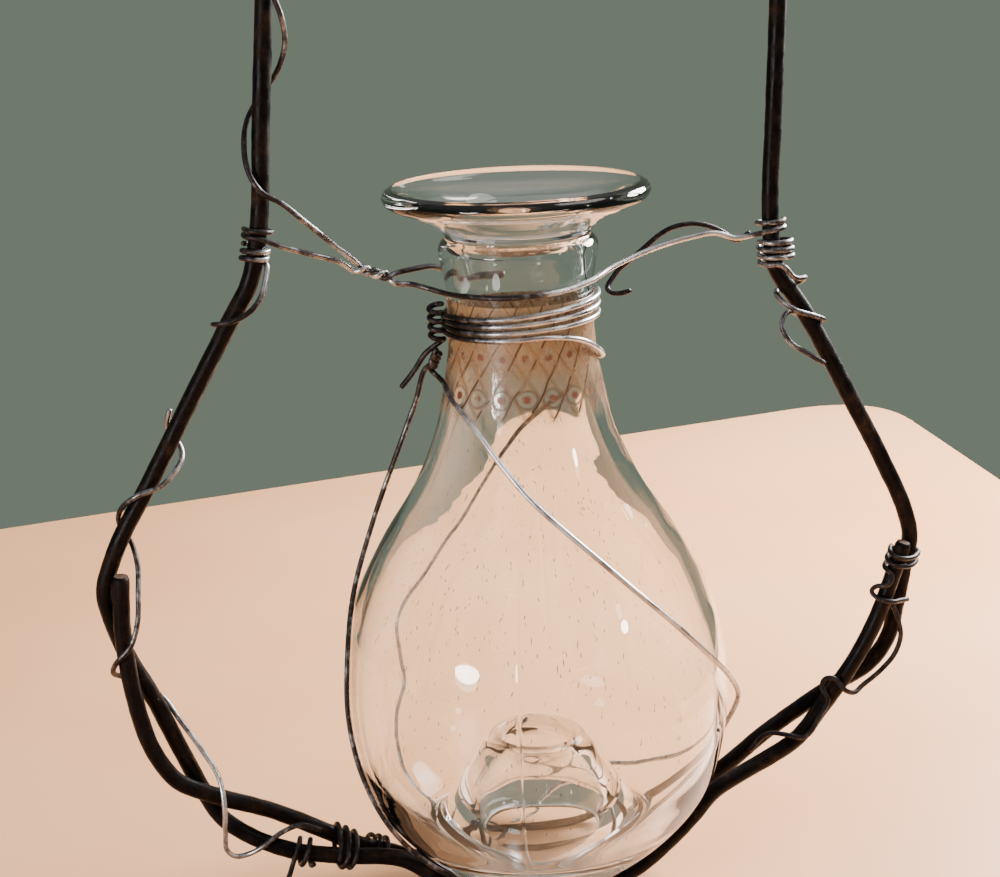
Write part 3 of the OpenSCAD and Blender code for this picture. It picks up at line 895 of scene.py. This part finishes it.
def bottle_mesh(look):
    """The blown bottle as one closed wall, a little uneven, with two mould seams."""
    bore = [[MOUTH_R, BORE_TOP - k * (BORE_TOP - BORE_FOOT) / 12] for k in range(13)]
    bore_middle = (BORE_TOP + BORE_FOOT) / 2
    parts = [
        ("out", smooth(OUTLINE, 6)[:-1]),
        ("in", smooth(FUNNEL, 6)),
        ("bore", np.array(bore)),
        ("in", smooth(LINING, 6)[:-1]),
        ("kick", smooth(KICK_UP, 6)[:-1]),
    ]
    angles = angles_round()
    outer_waves = waves((1, 5), 6)
    inner_waves = waves((1, 7), 8)
    rows = []
    for kind, profile in parts:
        for r, h in profile:
            radius = np.full(len(angles), float(r))
            height = np.full(len(angles), float(h))
            if kind == "out":
                near_lip = np.clip((h - LIP_FOOT) / LIP_BLEND, 0, 1)
                radius -= OUTER_WAVE * (0.5 + wavy(outer_waves, angles, h)) * (1 - near_lip)
                height -= near_lip * LIP_WAVE * (0.5 + wavy(outer_waves, angles, 0))
                fade = np.clip((SEAM_TOP - h) / SEAM_FADE, 0, 1) * np.clip((h - 2) / 4, 0, 1)
                for seam in np.radians(SEAM_ANGLES):
                    away = (angles - seam + math.pi) % (2 * math.pi) - math.pi
                    radius += SEAM_HEIGHT * fade * np.exp(-((away * r / SEAM_HALF) ** 2))
            elif kind == "in":
                # no waves beside the bore, which a cork has to fit
                share = np.clip(abs(h - bore_middle) / 16 - 0.9, 0, 1)
                radius += INNER_WAVE * share * wavy(inner_waves, angles, h)
            elif kind == "kick":
                share = np.clip((h - 0.5) / 8, 0, 1)
                radius += KICK_WAVE * share * wavy(inner_waves, angles, h * 1.4)
            rows.append(
                np.stack(
                    [
                        BOTTLE_X + radius * np.sin(angles),
                        -radius * np.cos(angles),
                        BASE_Z + np.maximum(height, 0),
                    ],
                    axis=1,
                )
            )
    verts = np.concatenate(rows) * MM
    return new_object("glass_bottle", verts, skin(len(rows), len(angles), closed=True), look)


# Seed bubbles lie from this height above the foot, over this span, in millimetres
SEEDS_FOOT = 20
SEEDS_SPAN = 112
# The lining of the shoulder and belly is wider than this, and the neck's isn't
SHOULDER_R = 22.6


def wall_middle(h):
    """Radius halfway through the glass at a height above the foot, and the wall's slope."""
    lining = smooth(LINING, 4)
    lining = lining[lining[:, 0] > SHOULDER_R]
    order = np.argsort(lining[:, 1])
    inside = float(np.interp(h, lining[order, 1], lining[order, 0]))
    return 0.5 * inside + 0.5 * glass_r(h), (glass_r(h + 2) - glass_r(h - 2)) / 4


def seed_bubbles(count, look):
    """Tiny drawn-out bubbles inside the wall of the belly, leaning a little, as one mesh."""
    verts, faces = [], []
    rings, sides = 4, 6
    for _ in range(count):
        h = SEEDS_FOOT + SEEDS_SPAN * rng.beta(1.6, 1.5)
        angle = rng.uniform(-math.pi, math.pi)
        r, slope = wall_middle(h)
        half = rng.uniform(0.25, 0.85)
        half *= 1.5 if rng.random() < 0.12 else 1
        thick = rng.uniform(0.08, 0.14)
        lean = rng.normal(0.22, 0.12)
        outward = np.array([math.sin(angle), -math.cos(angle), 0])
        sideways = np.array([math.cos(angle), math.sin(angle), 0])
        rise = unit(np.array([outward[0] * slope, outward[1] * slope, 1.0]))
        along = unit(rise * math.cos(lean) + sideways * math.sin(lean))
        across = unit(np.cross(along, outward))
        normal = np.cross(along, across)
        centre = np.array([BOTTLE_X, 0, BASE_Z + h]) + outward * (r + rng.uniform(-0.3, 0.3))
        base = len(verts)
        verts.append(centre - along * half)
        for i in range(1, rings):
            t = math.pi * i / rings
            for j in range(sides):
                q = 2 * math.pi * j / sides
                verts.append(
                    centre
                    - along * half * math.cos(t)
                    + thick * math.sin(t) * (math.cos(q) * across + math.sin(q) * normal)
                )
        verts.append(centre + along * half)
        last = len(verts) - 1
        for j in range(sides):
            k = (j + 1) % sides
            faces.append((base, base + 1 + k, base + 1 + j))
            for i in range(rings - 2):
                a, b = base + 1 + i * sides, base + 1 + (i + 1) * sides
                faces.append((a + j, a + k, b + k, b + j))
            top = base + 1 + (rings - 2) * sides
            faces.append((top + j, top + k, last))
    return new_object("seed_bubbles", np.array(verts) * MM, faces, look)


def printed_band(look):
    """The paint on the neck, as a thin sleeve just off the glass."""
    heights = np.linspace(BAND_FOOT, BAND_TOP, 42)
    sides = 160
    clear = 0.05
    thick = 0.06
    verts, faces = [], []
    for out in (clear, clear + thick):
        for h in heights:
            for j in range(sides):
                q = 2 * math.pi * j / sides
                r = glass_r(h) + out
                verts.append([BOTTLE_X + r * math.sin(q), -r * math.cos(q), BASE_Z + h])
    n = len(heights)
    layer = n * sides
    corners = []
    for i in range(n - 1):
        for j in range(sides):
            k = (j + 1) % sides
            a, b = i * sides, (i + 1) * sides
            faces.append((layer + a + j, layer + a + k, layer + b + k, layer + b + j))
            corners.append([(j, i), (j + 1, i), (j + 1, i + 1), (j, i + 1)])
    for j in range(sides):
        k = (j + 1) % sides
        faces.append((j, k, layer + k, layer + j))
        corners.append([(j, 0), (j + 1, 0), (j + 1, 0), (j, 0)])
        t = (n - 1) * sides
        faces.append((t + k, t + j, layer + t + j, layer + t + k))
        corners.append([(j + 1, n - 1), (j, n - 1), (j, n - 1), (j + 1, n - 1)])
    for i in range(n - 1):
        for j in range(sides):
            k = (j + 1) % sides
            a, b = i * sides, (i + 1) * sides
            faces.append((a + k, a + j, b + j, b + k))
            corners.append([(j + 1, i), (j, i), (j, i + 1), (j + 1, i + 1)])
    obj = new_object("printed_neck_band", np.array(verts) * MM, faces, look)
    layer_uv = obj.data.uv_layers.new(name="band")
    flat = [
        (BAND_CELLS * j / sides, heights[i]) for face in corners for j, i in face
    ]
    layer_uv.data.foreach_set("uv", np.array(flat, np.float32).ravel())
    return obj


# ---- The object ----

glass = bottle_mesh(clear_glass())
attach(glass, "bottle")
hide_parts("bottle")

seeds = seed_bubbles(count=820, look=seed_look())
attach(seeds, "bottle")

band = printed_band(band_look())
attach(band, "bottle")
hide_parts("neck_band")

HEAVY_NODES = (
    "hanging_eye", "left_arch_arm", "right_arch_arm", "left_upright", "right_upright",
    "left_slant", "right_slant", "front_strand_left", "front_rail", "front_strand_right",
    "back_strand_left", "back_rail", "back_strand_right",
)
heavy = tube(
    "frame_wire", FRAME_ROUTE, FRAME_R, sides=24, step=1.1, look=frame_look(), relax=8,
    uneven=0.012, pitted=0.035,
)
heavy.data.materials.append(cut_end_look())
for face in list(heavy.data.polygons)[-2:]:
    face.material_index = 1
    face.use_smooth = False
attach(heavy, "frame")
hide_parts(*HEAVY_NODES)

galvanised = thin_look()
for name, (route, body, nodes, tarnish_and_painted_shade) in THIN_WIRES.items():
    wire = tube(
        name, route, THIN_R, sides=14, step=0.55, look=galvanised, relax=3, uneven=0.02,
        tarnish_and_painted_shade=tarnish_and_painted_shade,
    )
    if body is None:
        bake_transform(wire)
    else:
        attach(wire, body)
    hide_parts(*nodes)

# ---- Floor, light and camera ----


def floor_slab():
    """A plain pale slab in metres, with one rounded corner behind the trap on the right."""
    corners = np.array([[0.303, 0.513], [-0.98, 0.252], [-0.80, -1.0], [0.275, -1.0]])
    cut, drop = 0.055, 0.022
    outline = []
    for i, corner in enumerate(corners):
        enter = corner + cut * unit(corners[i - 1] - corner)
        leave = corner + cut * unit(corners[(i + 1) % 4] - corner)
        for t in np.linspace(0, 1, 13):
            outline.append((1 - t) ** 2 * enter + 2 * t * (1 - t) * corner + t**2 * leave)
    verts = [(x, y, 0.0) for x, y in outline] + [(x, y, -drop) for x, y in outline]
    n = len(outline)
    faces = [tuple(range(n)), tuple(range(2 * n - 1, n - 1, -1))]
    faces += [(j, n + j, n + (j + 1) % n, (j + 1) % n) for j in range(n)]
    obj = new_object("floor", verts, faces, floor_look(), smooth_shading=False)
    return obj


floor_slab()

AIM = Vector((BOTTLE_X * MM, 0, 0.10))


def softbox(name, azimuth, elevation, distance, width, height, power, colour):
    """An area lamp that faces the bottle. Azimuth 0 is in front of it and 90 on its right."""
    lamp = bpy.data.lights.new(name, "AREA")
    lamp.shape = "ELLIPSE"
    lamp.size, lamp.size_y = width, height
    lamp.energy = power
    lamp.color = colour
    obj = bpy.data.objects.new(name, lamp)
    a, e = math.radians(azimuth), math.radians(elevation)
    away = Vector((math.sin(a) * math.cos(e), -math.cos(a) * math.cos(e), math.sin(e)))
    obj.location = AIM + away * distance
    obj.rotation_mode = "QUATERNION"
    obj.rotation_quaternion = (-away).to_track_quat("-Z", "Y")
    obj.visible_camera = False
    bpy.context.scene.collection.objects.link(obj)


# Name, azimuth, elevation, distance, width, height, watts and colour
softbox("left_front", -51, 7, 1.15, 0.30, 0.15, 8.5, (1.0, 0.97, 0.95))
softbox("right_front", 50, 20, 1.3, 0.11, 0.11, 3.0, (1.0, 0.97, 0.95))
softbox("overhead", 78, 60, 1.25, 0.8, 0.6, 6.0, (1.0, 0.94, 0.88))
softbox("right_back", 120, 27, 0.66, 0.42, 0.28, 21.0, (1.0, 0.96, 0.94))

world = bpy.data.worlds.new("soft_room")
bpy.context.scene.world = world
world.use_nodes = True
tree = world.node_tree
backdrop = next(n for n in tree.nodes if n.type == "BACKGROUND")
split = tree.nodes.new("ShaderNodeSeparateXYZ")
tree.links.new(tree.nodes.new("ShaderNodeTexCoord").outputs["Generated"], split.inputs[0])
sky = tree.nodes.new("ShaderNodeValToRGB")
tree.links.new(split.outputs[2], sky.inputs[0])
sky.color_ramp.elements[0].position = 0.28
sky.color_ramp.elements[0].color = (0.20, 0.245, 0.19, 1)
sky.color_ramp.elements[1].position = 0.75
sky.color_ramp.elements[1].color = (0.62, 0.61, 0.61, 1)
tree.links.new(sky.outputs[0], backdrop.inputs["Color"])
backdrop.inputs["Strength"].default_value = 0.8

# The photo's camera: its place in metres, its direction, its roll, and its lens on 36 mm film
CAMERA_AT = Vector((-0.1034, -0.5448, 0.2885))
CAMERA_AHEAD = Vector((0.17181, 0.94939, -0.26297)).normalized()
CAMERA_ROLL = math.radians(-2.474)
CAMERA_LENS = 73.9

level = CAMERA_AHEAD.cross(Vector((0, 0, 1))).normalized()
above = level.cross(CAMERA_AHEAD)
right = level * math.cos(CAMERA_ROLL) + above * math.sin(CAMERA_ROLL)
up = above * math.cos(CAMERA_ROLL) - level * math.sin(CAMERA_ROLL)
pose = Matrix((right, up, -CAMERA_AHEAD)).transposed().to_4x4()
pose.translation = CAMERA_AT
lens = bpy.data.cameras.new("camera")
lens.sensor_width = 36.0
lens.lens = CAMERA_LENS
lens.clip_start, lens.clip_end = 0.01, 20.0
camera = bpy.data.objects.new("camera", lens)
camera.matrix_world = pose
bpy.context.scene.collection.objects.link(camera)
bpy.context.scene.camera = camera
